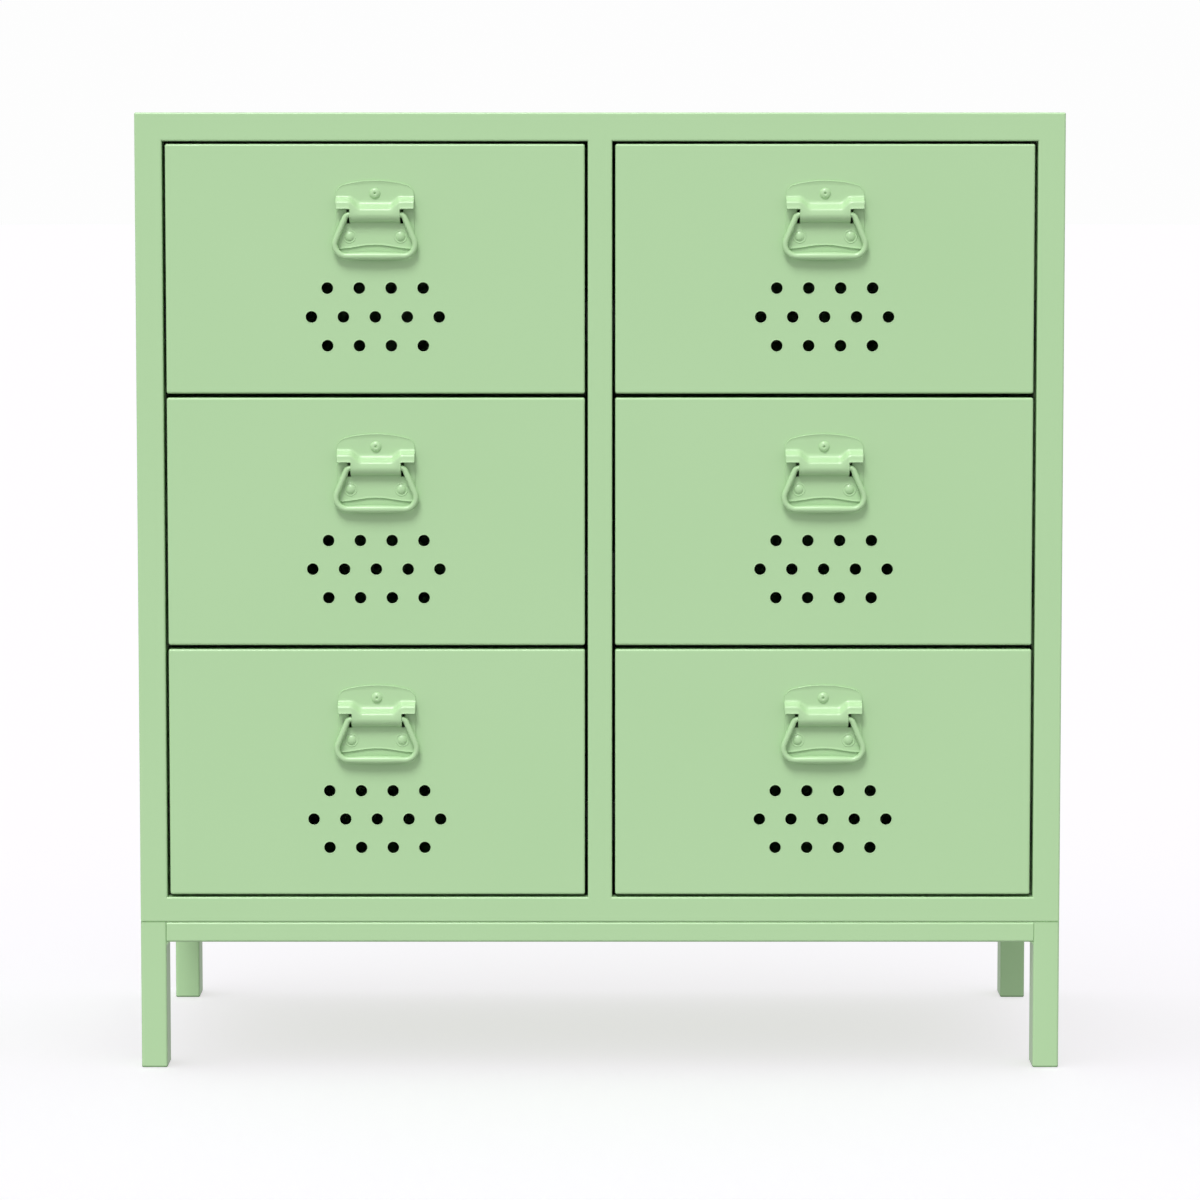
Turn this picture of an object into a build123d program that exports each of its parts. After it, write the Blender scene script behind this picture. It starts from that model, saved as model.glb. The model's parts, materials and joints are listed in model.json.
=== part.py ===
from build123d import *
import os

# Overall size of the locker
WIDTH = 800.0
DEPTH = 400.0
CARCASS_HEIGHT = 702.0
BASE_HEIGHT = 128.0

# Folded sheet of the carcass
SHEET = 0.8
INSIDE_BEND = 0.8
STILE_WIDTH = 23.5
TOP_RAIL = 24.5
BOTTOM_RAIL = 22.0
POST_WIDTH = 21.0
RAIL_RETURN = 16.0
REAR_FLANGE = 14.0
BACK_CLEARANCE = 0.5

# Uprights that carry the slides inside the side panels
UPRIGHT_SHEET = 1.2
UPRIGHT_WIDTH = 30.0
UPRIGHT_FLANGE = 9.0
UPRIGHT_SETBACK = 6.0

# Base of rectangular tube
LEG_WIDTH = 22.5
LEG_DEPTH = 38.0
TUBE_WALL = 1.2
APRON_HEIGHT = 17.5
APRON_DEPTH = 20.0
WELD_RADIUS = 3.5
FOOT_FLANGE = 1.5
FOOT_PLUG = 12.0
FOOT_CLEARANCE = 0.15
FOOT_EDGE = 0.7

# Bolts that hold the carcass down on the side aprons
BOLT_DIAMETER = 6.0
BOLT_HEAD_DIAMETER = 11.0
BOLT_HEAD_HEIGHT = 4.0
BOLT_SPACING = 100.0
NUT_DIAMETER = 13.0
NUT_HEIGHT = 5.0
HOLE_CLEARANCE = 0.2

# Screws that hold the back panel
SCREW_DIAMETER = 3.4
SCREW_HEAD_DIAMETER = 7.0
SCREW_HEAD_HEIGHT = 2.2
SCREW_LENGTH = 8.0

# Holes for an anti-tip strap in the back panel
ANCHOR_SPACING = 500.0
ANCHOR_DIAMETER = 6.0
ANCHOR_DROP = 40.0

# Drawer fronts
ROW_COUNT = 3
FRONT_SIDE_GAP = 2.65
FRONT_END_GAP = 2.5
FRONT_ROW_GAP = 3.65
FRONT_SHEET = 1.0
FRONT_RETURN = 14.0

# Vent holes in each drawer front
VENT_DIAMETER = 10.0
VENT_PITCH = 27.5
VENT_ROW_PITCH = 24.8
VENT_HEIGHT = 66.0
VENT_ROUNDING = 0.35

# Drawer tray
TRAY_SHEET = 0.8
TRAY_DEPTH = 350.0
TRAY_SIDE_HEIGHT = 150.0
TRAY_LIFT = 12.0
TRAY_FLANGE = 7.0
TRAY_HEM = 8.0

# Ball-bearing slides
SLIDE_SPACE = 12.7
SLIDE_HEIGHT = 35.0
SLIDE_SHEET = 1.2
SLIDE_LENGTH = 350.0
SLIDE_LIFT = 62.0
SLIDE_SETBACK = 4.0
SLIDE_LIP = 1.6
DRAWER_TRAVEL = 250.0
BALL_DIAMETER = 4.8
BALL_CLEARANCE = 0.15
CAGE_SHEET = 0.7
CAGE_LENGTH = 68.0
CAGE_END = 5.0
BALLS_PER_ROW = 4
RUNNING_GAP = 0.4
STOP_THICKNESS = 2.5

# Handle plate
PLATE_SHEET = 1.2
PLATE_WIDTH = 67.5
PLATE_TOP = 29.5
PLATE_SHOULDER = 5.4
PLATE_BOTTOM = 30.2
PLATE_BOTTOM_ARCH = 3.4
PLATE_CORNER = 6.2
LEAF_CORNER = 2.6
SLIT_HEIGHT = 4.2
WING_CUT = 5.4
SLOT_WIDTH = 2.4
SLOT_DROP = 7.5
BARREL_WIDTH = 43.5
BARREL_STEP = 8.0
WING_RISE = 6.0
HANDLE_HEIGHT = 154.0
HOOD_LEAN = 0.5
HOOD_BEND = 3.0

# Handle bail
BAIL_WIRE = 5.0
BAIL_STANDOFF = 5.0
BAIL_CLEARANCE = 0.5
BAIL_GRIP = 6.6
BAIL_DROP = 35.6
BAIL_TOP_HALF = 24.5
BAIL_BOTTOM_HALF = 39.6
BAIL_TOP_BEND = 4.2
BAIL_BOTTOM_BEND = 10.0
BAIL_END_GAP = 4.0

# Blind rivets of the handle
RIVET_DIAMETER = 4.0
RIVET_HEAD_DIAMETER = 9.4
RIVET_HEAD_HEIGHT = 2.0
RIVET_RIM = 0.5
RIVET_BORE = 2.0
RIVET_TAIL_DIAMETER = 6.0
RIVET_TAIL_LENGTH = 3.0
RIVET_TOP_HEIGHT = 18.2
RIVET_LOW_DROP = 18.8
RIVET_LOW_SPACING = 44.0

# Places worked out from the sizes
outside_bend = INSIDE_BEND + SHEET
hood_height = BAIL_STANDOFF + BAIL_WIRE / 2 + BAIL_CLEARANCE + PLATE_SHEET
handle_reach = max(hood_height, BAIL_STANDOFF + BAIL_GRIP / 2)
front_y = (handle_reach - DEPTH - SCREW_HEAD_HEIGHT) / 2
back_y = front_y + DEPTH
back_panel_y = back_y - SHEET
back_inner_y = back_panel_y - SHEET
side_x = WIDTH / 2
carcass_low = BASE_HEIGHT
carcass_high = BASE_HEIGHT + CARCASS_HEIGHT
opening_x = side_x - STILE_WIDTH
opening_low = carcass_low + BOTTOM_RAIL
opening_high = carcass_high - TOP_RAIL
column_width = opening_x - POST_WIDTH / 2
column_x = (opening_x + POST_WIDTH / 2) / 2
front_width = column_width - 2 * FRONT_SIDE_GAP
row_space = opening_high - opening_low - 2 * FRONT_END_GAP
front_height = (row_space - (ROW_COUNT - 1) * FRONT_ROW_GAP) / ROW_COUNT
row_pitch = front_height + FRONT_ROW_GAP
tray_half = column_width / 2 - SLIDE_SPACE
tray_front_y = front_y + FRONT_SHEET
tray_back_y = tray_front_y + TRAY_DEPTH
slide_front_y = front_y + FRONT_RETURN + SLIDE_SETBACK
slide_back_y = slide_front_y + SLIDE_LENGTH
inner_back_y = tray_back_y - STOP_THICKNESS


def block(x_span, y_span, z_span):
    """A box given by its limits along the three axes."""
    spans = (x_span, y_span, z_span)
    middle = [(low + high) / 2 for low, high in spans]
    size = [high - low for low, high in spans]
    return Pos(*middle) * Box(*size)


def rod(radius, start, end, axis):
    """A round bar along one axis, from start to end about the given point."""
    bar = extrude(Circle(radius), end - start)
    return axis * Pos(0, 0, start) * bar


def turned(profile):
    """A solid of revolution about Z from points of radius and height."""
    face = make_face(Polyline(*[(r, 0, z) for r, z in profile], close=True))
    return revolve(face, Axis.Z)


def flat_face(points, place):
    """A face through points that place turns into coordinates."""
    return make_face(Polyline(*[place(*point) for point in points], close=True))


def folded_section(points, sheet):
    """Section of a bent sheet that lies to the left of the line through the points."""
    line = [Vector(*point) for point in points]
    steps = [(b - a).normalized() for a, b in zip(line, line[1:])]
    normals = [Vector(-step.Y, step.X) for step in steps]
    other = [line[0] + normals[0] * sheet]
    line_bends = [0.0]
    other_bends = [0.0]
    for corner, before, after, first, second in zip(line[1:], normals, normals[1:], steps, steps[1:]):
        other.append(corner + (before + after) * (sheet / (1 + before.dot(after))))
        left_turn = first.cross(second).Z > 0
        line_bends.append(INSIDE_BEND + (sheet if left_turn else 0))
        other_bends.append(INSIDE_BEND + (0 if left_turn else sheet))
    other.append(line[-1] + normals[-1] * sheet)
    line_bends.append(0.0)
    other_bends.append(0.0)
    outline = line + other[::-1]
    bends = line_bends + other_bends[::-1]
    return make_face(FilletPolyline(*outline, radius=bends, close=True))


def tube(x_span, y_span, z_span, axis):
    """A rectangular tube along an axis, with bent corners and open ends."""
    spans = [x_span, y_span, z_span]
    along = (Axis.X, Axis.Y, Axis.Z).index(axis)
    inner = [(low + TUBE_WALL, high - TUBE_WALL) for low, high in spans]
    low, high = spans[along]
    inner[along] = (low - TUBE_WALL, high + TUBE_WALL)
    skin = block(*spans)
    core = block(*inner)
    skin = fillet(skin.edges().filter_by(axis), INSIDE_BEND + TUBE_WALL)
    core = fillet(core.edges().filter_by(axis), INSIDE_BEND)
    return skin - core


def group(solids):
    """Separate solids that belong to one node."""
    return Compound(children=list(solids))


# Carcass: four folded panels mitred at the corners of the face
mitre_in = 3
mitre_out = 0.5


def mitre_point(side, level, rail, reach):
    """A point on the line through the outer and inner corner of the face."""
    x = side * (side_x - reach * STILE_WIDTH)
    edge = carcass_high if level > 0 else carcass_low
    return (x, edge - level * reach * rail)


def mitre_region(corners):
    """The space that one mitred panel may fill, right through the depth."""
    face = flat_face(corners, lambda x, z: (x, front_y - SHEET, z))
    return extrude(face, DEPTH + 2 * SHEET, dir=(0, 1, 0))


def side_region(side):
    """Space of a side panel between its two mitres."""
    return mitre_region([
        mitre_point(side, -1, BOTTOM_RAIL, -mitre_out),
        mitre_point(side, 1, TOP_RAIL, -mitre_out),
        mitre_point(side, 1, TOP_RAIL, mitre_in),
        mitre_point(side, -1, BOTTOM_RAIL, mitre_in),
    ])


def end_region(level, rail):
    """Space of the top or bottom panel between its two mitres."""
    return mitre_region([
        mitre_point(-1, level, rail, -mitre_out),
        mitre_point(1, level, rail, -mitre_out),
        mitre_point(1, level, rail, mitre_in),
        mitre_point(-1, level, rail, mitre_in),
    ])


envelope = block((-side_x, side_x), (front_y, back_y), (carcass_low, carcass_high))
envelope = fillet(envelope.edges().filter_by(Axis.Y), outside_bend)

side_section = folded_section([
    (-side_x + REAR_FLANGE, back_y),
    (-side_x, back_y),
    (-side_x, front_y),
    (-opening_x, front_y),
    (-opening_x, front_y + RAIL_RETURN),
], SHEET)
left_side_panel = extrude(Pos(0, 0, carcass_low) * side_section, CARCASS_HEIGHT)
left_side_panel = left_side_panel & side_region(-1) & envelope
right_side_panel = mirror(left_side_panel, Plane.YZ)

top_section = folded_section([
    (back_y, carcass_high - REAR_FLANGE),
    (back_y, carcass_high),
    (front_y, carcass_high),
    (front_y, opening_high),
    (front_y + RAIL_RETURN, opening_high),
], SHEET)
bottom_section = folded_section([
    (front_y + RAIL_RETURN, opening_low),
    (front_y, opening_low),
    (front_y, carcass_low),
    (back_y, carcass_low),
    (back_y, carcass_low + REAR_FLANGE),
], SHEET)
across = Plane(origin=(-side_x, 0, 0), x_dir=(0, 1, 0), z_dir=(1, 0, 0))
top_panel = extrude(across * top_section, WIDTH) & end_region(1, TOP_RAIL) & envelope
bottom_panel = extrude(across * bottom_section, WIDTH) & end_region(-1, BOTTOM_RAIL) & envelope

# Bolts up through the side aprons into weld nuts on the bottom panel
bolt_x = side_x - APRON_DEPTH / 2
depth_middle = (front_y + back_y) / 2
bolt_places = [
    (side * bolt_x, depth_middle + step * BOLT_SPACING)
    for side in (-1, 1)
    for step in (-1, 0, 1)
]
apron_low = BASE_HEIGHT - APRON_HEIGHT
nut_low = carcass_low + SHEET
bolt_hole = BOLT_DIAMETER / 2 + HOLE_CLEARANCE
for x, y in bolt_places:
    bottom_panel += rod(NUT_DIAMETER / 2, nut_low, nut_low + NUT_HEIGHT, Pos(x, y, 0))
bolt_holes = [
    rod(bolt_hole, apron_low - SHEET, nut_low + 2 * NUT_HEIGHT, Pos(x, y, 0))
    for x, y in bolt_places
]
for hole in bolt_holes:
    bottom_panel -= hole
bolt_shape = turned([
    (0, -BOLT_HEAD_HEIGHT),
    (BOLT_HEAD_DIAMETER * 0.36, -BOLT_HEAD_HEIGHT),
    (BOLT_HEAD_DIAMETER / 2, -BOLT_HEAD_HEIGHT * 0.3),
    (BOLT_HEAD_DIAMETER / 2, 0),
    (BOLT_DIAMETER / 2, 0),
    (BOLT_DIAMETER / 2, APRON_HEIGHT + SHEET + NUT_HEIGHT),
    (0, APRON_HEIGHT + SHEET + NUT_HEIGHT),
])
base_bolts = group(Pos(x, y, apron_low) * bolt_shape for x, y in bolt_places)

# Centre partition: a closed box section whose front edge is the post, let into the rails
post_span = (-POST_WIDTH / 2, POST_WIDTH / 2)
post_skin = block(post_span, (front_y, back_inner_y), (opening_low - outside_bend, opening_high + outside_bend))
front_edges = post_skin.edges().filter_by(Axis.Z).group_by(Axis.Y)[0]
post_skin = fillet(front_edges, outside_bend)
partition_rear = block(post_span, (front_y + RAIL_RETURN, back_inner_y),
                       (carcass_low + SHEET, carcass_high - SHEET))
partition_core = block((SHEET - POST_WIDTH / 2, POST_WIDTH / 2 - SHEET),
                       (front_y + SHEET, back_inner_y - SHEET), (0, carcass_high + SHEET))
core_edges = partition_core.edges().filter_by(Axis.Z).group_by(Axis.Y)[0]
partition_core = fillet(core_edges, INSIDE_BEND)
centre_partition = post_skin + partition_rear - partition_core
top_panel -= post_skin
bottom_panel -= post_skin

# Back panel and its screws
back_gap = SHEET + INSIDE_BEND + BACK_CLEARANCE
back_panel = block((back_gap - side_x, side_x - back_gap), (back_inner_y, back_panel_y),
                   (carcass_low + back_gap, carcass_high - back_gap))
screw_inset = REAR_FLANGE * 0.55
screw_side_x = side_x - screw_inset
carcass_middle = (carcass_low + carcass_high) / 2
screw_top_xs = [side * WIDTH * part for side in (-1, 1) for part in (0.15, 0.42)]
side_zs = [carcass_middle + step * CARCASS_HEIGHT * 0.36 for step in (-1, 0, 1)]
top_places = [(x, carcass_high - screw_inset) for x in screw_top_xs]
low_places = [(x, carcass_low + screw_inset) for x in screw_top_xs]
side_places = [(side * screw_side_x, z) for side in (-1, 1) for z in side_zs]
centre_places = [(0, z) for z in side_zs]
screw_hole_radius = SCREW_DIAMETER / 2 + HOLE_CLEARANCE


def rearward(x, y, z):
    """A place on the back whose local Z points out of the back."""
    return Pos(x, y, z) * Rot(-90, 0, 0)


def screw_hole(x, z):
    """A clearance hole along the depth, through the back only."""
    return rod(screw_hole_radius, -SCREW_LENGTH, SCREW_LENGTH, rearward(x, back_y, z))


for place in top_places:
    top_panel -= screw_hole(*place)
for place in low_places:
    bottom_panel -= screw_hole(*place)
for place in side_places:
    if place[0] < 0:
        left_side_panel -= screw_hole(*place)
    else:
        right_side_panel -= screw_hole(*place)
for place in centre_places:
    centre_partition -= screw_hole(*place)
for place in top_places + low_places + side_places + centre_places:
    back_panel -= screw_hole(*place)
anchor_z = carcass_high - ANCHOR_DROP
for side in (-1, 1):
    anchor = rearward(side * ANCHOR_SPACING / 2, back_y, anchor_z)
    back_panel -= rod(ANCHOR_DIAMETER / 2, -SCREW_LENGTH, SCREW_LENGTH, anchor)

screw_shape = turned([
    (0, SCREW_HEAD_HEIGHT),
    (SCREW_HEAD_DIAMETER * 0.25, SCREW_HEAD_HEIGHT * 0.93),
    (SCREW_HEAD_DIAMETER * 0.42, SCREW_HEAD_HEIGHT * 0.62),
    (SCREW_HEAD_DIAMETER / 2, SCREW_HEAD_HEIGHT * 0.1),
    (SCREW_HEAD_DIAMETER / 2, 0),
    (SCREW_DIAMETER / 2, 0),
    (SCREW_DIAMETER / 2, -SCREW_LENGTH * 0.75),
    (0, -SCREW_LENGTH),
])
flange_screws = [rearward(x, back_y, z) * screw_shape for x, z in top_places + low_places + side_places]
centre_screws = [rearward(x, back_panel_y, z) * screw_shape for x, z in centre_places]
back_screws = group(flange_screws + centre_screws)


# Uprights of hat section welded inside the side panels
def upright(start_y):
    """One hat-section upright on the left side, from the given depth on."""
    wall_x = SHEET - side_x
    face_x = -opening_x - UPRIGHT_SHEET
    low_y = start_y + UPRIGHT_FLANGE
    high_y = low_y + UPRIGHT_WIDTH
    section = folded_section([
        (wall_x, high_y + UPRIGHT_FLANGE),
        (wall_x, high_y),
        (face_x, high_y),
        (face_x, low_y),
        (wall_x, low_y),
        (wall_x, start_y),
    ], UPRIGHT_SHEET)
    low = carcass_low + SHEET
    return extrude(Pos(0, 0, low) * section, CARCASS_HEIGHT - 2 * SHEET)


upright_depth = UPRIGHT_WIDTH + 2 * UPRIGHT_FLANGE
front_upright = upright(front_y + RAIL_RETURN + UPRIGHT_SETBACK)
rear_upright = upright(slide_back_y - UPRIGHT_SETBACK - upright_depth)
left_uprights = [front_upright, rear_upright]
slide_uprights = group(left_uprights + [mirror(each, Plane.YZ) for each in left_uprights])

# Base: four legs and four aprons of tube, with plastic glides in the legs
leg_places = {}
for side_name, side in (("left", -1), ("right", 1)):
    edges = sorted([side * side_x, side * (side_x - LEG_WIDTH)])
    leg_places["front_" + side_name] = (edges, (front_y, front_y + LEG_DEPTH))
    leg_places["rear_" + side_name] = (edges, (back_y - LEG_DEPTH, back_y))
legs = {
    name: tube(x_span, y_span, (FOOT_FLANGE, BASE_HEIGHT), Axis.Z)
    for name, (x_span, y_span) in leg_places.items()
}


def foot_glide(x_span, y_span):
    """A glide whose rim covers the tube's end and whose plug fits inside it."""
    rim = block(x_span, y_span, (0, FOOT_FLANGE))
    rim = fillet(rim.edges().filter_by(Axis.Z), INSIDE_BEND + TUBE_WALL)
    rim = chamfer(rim.faces().sort_by(Axis.Z)[0].edges(), FOOT_EDGE)
    step = TUBE_WALL + FOOT_CLEARANCE
    plug = block((x_span[0] + step, x_span[1] - step), (y_span[0] + step, y_span[1] - step),
                 (0.5 * FOOT_FLANGE, FOOT_FLANGE + FOOT_PLUG))
    return rim + fillet(plug.edges().filter_by(Axis.Z), INSIDE_BEND)


foot_glides = group(foot_glide(*spans) for spans in leg_places.values())

apron_span = (apron_low, BASE_HEIGHT)
apron_x = side_x - LEG_WIDTH


def weld_corner(direction):
    """The rounded inside corner of the weld under one end of an apron."""
    corner_x = direction * apron_x
    reach_x = corner_x - direction * WELD_RADIUS
    low = apron_low - WELD_RADIUS
    y_span = (front_y + TUBE_WALL, front_y + APRON_DEPTH - TUBE_WALL)
    lump = block(sorted([corner_x, reach_x]), y_span, (low, apron_low + TUBE_WALL))
    round_cut = rod(WELD_RADIUS, 0, APRON_DEPTH, Pos(reach_x, front_y, low) * Rot(-90, 0, 0))
    return lump - round_cut


front_apron = tube((-apron_x, apron_x), (front_y, front_y + APRON_DEPTH), apron_span, Axis.X)
front_apron = front_apron + weld_corner(-1) + weld_corner(1)
rear_apron = mirror(front_apron, Plane.XZ.offset(-depth_middle))
side_aprons = []
for side in (-1, 1):
    edges = sorted([side * side_x, side * (side_x - APRON_DEPTH)])
    apron = tube(edges, (front_y + LEG_DEPTH, back_y - LEG_DEPTH), apron_span, Axis.Y)
    for hole in bolt_holes:
        apron -= hole
    side_aprons.append(apron)
side_aprons = group(side_aprons)


# One drawer, built about x = 0 with its front's lower edge at z = 0
def forward(x, z, y=front_y):
    """A place on the front whose local Z points out of the front."""
    return Pos(x, y, z) * Rot(90, 0, 0)


def pan(half_width, height, depth, sheet):
    """A shallow folded pan, open at the back."""
    bend = INSIDE_BEND + sheet
    skin = block((-half_width, half_width), (front_y, front_y + depth), (0, height))
    face_edges = skin.faces().sort_by(Axis.Y)[0].edges()
    skin = fillet(face_edges + skin.edges().filter_by(Axis.Y), bend)
    core = block((sheet - half_width, half_width - sheet), (front_y + sheet, front_y + 2 * depth),
                 (sheet, height - sheet))
    core_edges = core.faces().sort_by(Axis.Y)[0].edges()
    core = fillet(core_edges + core.edges().filter_by(Axis.Y), INSIDE_BEND)
    return skin - core


vent_places = [
    ((column - (count - 1) / 2) * VENT_PITCH, VENT_HEIGHT + row * VENT_ROW_PITCH)
    for row, count in ((-1, 4), (0, 5), (1, 4))
    for column in range(count)
]
rivet_places = [
    (0, HANDLE_HEIGHT + RIVET_TOP_HEIGHT),
    (-RIVET_LOW_SPACING / 2, HANDLE_HEIGHT - RIVET_LOW_DROP),
    (RIVET_LOW_SPACING / 2, HANDLE_HEIGHT - RIVET_LOW_DROP),
]
rivet_hole = RIVET_DIAMETER / 2 + HOLE_CLEARANCE / 2

drawer_front = pan(front_width / 2, front_height, FRONT_RETURN, FRONT_SHEET)
for x, z in vent_places:
    drawer_front -= rod(VENT_DIAMETER / 2, -2 * FRONT_SHEET, 2 * FRONT_SHEET, forward(x, z))
vent_rims = [
    edge for edge in drawer_front.edges().filter_by(GeomType.CIRCLE)
    if abs(edge.radius - VENT_DIAMETER / 2) < 0.01 and abs(edge.center().Y - front_y) < 0.01
]
drawer_front = fillet(vent_rims, VENT_ROUNDING)
for x, z in rivet_places:
    drawer_front -= rod(rivet_hole, -2 * FRONT_SHEET, 2 * FRONT_SHEET, forward(x, z))

# Slots beside the barrel, where the plate is lanced and the front pierced for the bail's arms
slot_middle = (BARREL_WIDTH + SLOT_WIDTH) / 2
lance_slots = [
    block((x - SLOT_WIDTH / 2, x + SLOT_WIDTH / 2), (front_y - PLATE_SHEET, front_y + 2 * FRONT_SHEET),
          (HANDLE_HEIGHT - SLOT_DROP, HANDLE_HEIGHT + SLIT_HEIGHT))
    for x in (-slot_middle, slot_middle)
]
drawer_front -= lance_slots

# Tray of the drawer: a floor with its edges turned down, two hemmed sides and a hemmed back, spot-welded
tray_low = TRAY_LIFT
tray_high = TRAY_LIFT + TRAY_SIDE_HEIGHT
wall_low = TRAY_LIFT - TRAY_FLANGE
tray_bend = INSIDE_BEND + TRAY_SHEET
tray_inner = tray_half - TRAY_SHEET
hem_inner = tray_inner - TRAY_SHEET
back_inner_y = tray_back_y - TRAY_SHEET


def floor_block(inset, low, bend):
    """The floor's outline with its turned-down edges, made smaller all round."""
    shape = block((inset - tray_inner, tray_inner - inset), (tray_front_y + inset, back_inner_y - inset),
                  (low, tray_low + TRAY_SHEET - inset))
    return fillet(shape.faces().sort_by(Axis.Z)[-1].edges(), bend)


def hemmed(wall, hem):
    """A tray wall whose top edge is folded flat against its inside."""
    shape = wall + hem
    fold_edges = shape.faces().sort_by(Axis.Z)[-1].edges().sort_by(SortBy.LENGTH)[-2:]
    return fillet(fold_edges, TRAY_SHEET * 0.9)


tray_floor = floor_block(0, wall_low, tray_bend) - floor_block(TRAY_SHEET, wall_low - TRAY_FLANGE, INSIDE_BEND)
tray_right = hemmed(
    block((tray_inner, tray_half), (tray_front_y, tray_back_y), (wall_low, tray_high)),
    block((hem_inner, tray_inner), (tray_front_y, back_inner_y - TRAY_SHEET), (tray_high - TRAY_HEM, tray_high)),
)
tray_left = mirror(tray_right, Plane.YZ)
tray_back = hemmed(
    block((-tray_inner, tray_inner), (back_inner_y, tray_back_y), (wall_low, tray_high)),
    block((-tray_inner, tray_inner), (back_inner_y - TRAY_SHEET, back_inner_y), (tray_high - TRAY_HEM, tray_high)),
)
drawer_box = [tray_floor, tray_left, tray_right, tray_back]

# Slides: places across the section count from the mounting face to the tray
track_half = SLIDE_HEIGHT / 2 - SLIDE_SHEET
ball_level = track_half - BALL_CLEARANCE - BALL_DIAMETER / 2
inner_half = ball_level - BALL_DIAMETER / 2 - BALL_CLEARANCE
cage_web = SLIDE_SHEET + RUNNING_GAP
inner_tip = cage_web + CAGE_SHEET + RUNNING_GAP
outer_tip = SLIDE_SPACE - SLIDE_SHEET - 2 * RUNNING_GAP
ball_place = (inner_tip + outer_tip) / 2
overlap = inner_back_y - DRAWER_TRAVEL - slide_front_y
cage_front_y = slide_front_y + (overlap - CAGE_LENGTH + DRAWER_TRAVEL) / 2


def slide_bar(across, level, y_span):
    """A bar of the left slide: its span across, its span of height and its length."""
    mount_x = -column_width / 2
    levels = (SLIDE_LIFT + level[0], SLIDE_LIFT + level[1])
    return block((mount_x + across[0], mount_x + across[1]), y_span, levels)


def channel(web, flange, outer_half, lip, y_span):
    """A slide member: a web, two flanges and a lip along each flange's free edge."""
    shape = slide_bar(web, (-outer_half, outer_half), y_span)
    edge = flange[1] if lip[0] > web[0] else flange[0]
    step = -SLIDE_SHEET if lip[0] > web[0] else SLIDE_SHEET
    for sign in (-1, 1):
        levels = sorted([sign * outer_half, sign * (outer_half - SLIDE_SHEET)])
        lip_levels = sorted([sign * outer_half, sign * (outer_half + lip[1])])
        shape += slide_bar(flange, levels, y_span)
        shape += slide_bar(sorted([edge, edge + step]), lip_levels, y_span)
    return shape


outer_y = (slide_front_y, slide_back_y)
inner_y = (slide_front_y, inner_back_y)
outer_slide = channel((0, SLIDE_SHEET), (0, outer_tip), SLIDE_HEIGHT / 2,
                      (outer_tip, -SLIDE_SHEET - SLIDE_LIP), outer_y)
stop_half = inner_half - SLIDE_SHEET - RUNNING_GAP
stop_y = (inner_back_y + RUNNING_GAP, inner_back_y + RUNNING_GAP + STOP_THICKNESS)
outer_slide += slide_bar((0, SLIDE_SPACE - RUNNING_GAP), (-stop_half, stop_half), stop_y)
inner_slide = channel((SLIDE_SPACE - SLIDE_SHEET, SLIDE_SPACE), (inner_tip, SLIDE_SPACE), inner_half,
                      (inner_tip, SLIDE_LIP), inner_y)

cage_half = ball_level + CAGE_SHEET / 2
cage_y = (cage_front_y, cage_front_y + CAGE_LENGTH)
cage = slide_bar((cage_web, cage_web + CAGE_SHEET), (-cage_half, cage_half), cage_y)
for sign in (-1, 1):
    levels = sorted([sign * cage_half, sign * (cage_half - CAGE_SHEET)])
    cage += slide_bar((cage_web, outer_tip), levels, cage_y)
ball_pitch = (CAGE_LENGTH - 2 * CAGE_END - BALL_DIAMETER) / (BALLS_PER_ROW - 1)
ball_x = ball_place - column_width / 2
first_ball_y = cage_front_y + CAGE_END + BALL_DIAMETER / 2
balls = []
for sign in (-1, 1):
    for index in range(BALLS_PER_ROW):
        place = Pos(ball_x, first_ball_y + index * ball_pitch, SLIDE_LIFT + sign * ball_level)
        balls.append(place * Sphere(BALL_DIAMETER / 2))
        cage -= place * Cylinder(BALL_DIAMETER / 2 + BALL_CLEARANCE, 2 * CAGE_SHEET)


def both_sides(shapes):
    """The left slide's shapes and their mirrored copies on the right."""
    return list(shapes) + [mirror(shape, Plane.YZ) for shape in shapes]


outer_pair = both_sides([outer_slide])
inner_pair = both_sides([inner_slide])
cage_pair = both_sides([cage] + balls)

# Handle plate: one pressing with a raised hood over the bail's axle
plate_half = PLATE_WIDTH / 2
barrel_half = BARREL_WIDTH / 2


def plate_point(x, rise, height=0.0):
    """A point of the handle from its offset, its rise above the axle and its height off the front."""
    return (x, front_y - height, HANDLE_HEIGHT + rise)


def sheet_leaf(outline_edges):
    """A flat leaf of the plate that lies on the front."""
    return extrude(make_face(outline_edges), PLATE_SHEET, dir=(0, -1, 0))


shoulder = PLATE_TOP - PLATE_SHOULDER
leaf_low = -PLATE_BOTTOM
upper_leaf = sheet_leaf([
    ThreePointArc(plate_point(-plate_half, shoulder), plate_point(0, PLATE_TOP), plate_point(plate_half, shoulder)),
    Polyline(plate_point(plate_half, shoulder), plate_point(plate_half, WING_RISE),
             plate_point(-plate_half, WING_RISE), plate_point(-plate_half, shoulder)),
])
lower_leaf = sheet_leaf([
    ThreePointArc(plate_point(-plate_half, leaf_low), plate_point(0, leaf_low + PLATE_BOTTOM_ARCH),
                  plate_point(plate_half, leaf_low)),
    Polyline(plate_point(plate_half, leaf_low), plate_point(plate_half, SLIT_HEIGHT),
             plate_point(-plate_half, SLIT_HEIGHT), plate_point(-plate_half, leaf_low)),
])
upper_corners = upper_leaf.edges().filter_by(Axis.Y).group_by(Axis.Z)[-1]
upper_leaf = fillet(upper_corners, PLATE_CORNER)
lower_corners = lower_leaf.edges().filter_by(Axis.Y).group_by(Axis.Z)
lower_leaf = fillet(lower_corners[0] + lower_corners[-1], LEAF_CORNER)

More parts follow.
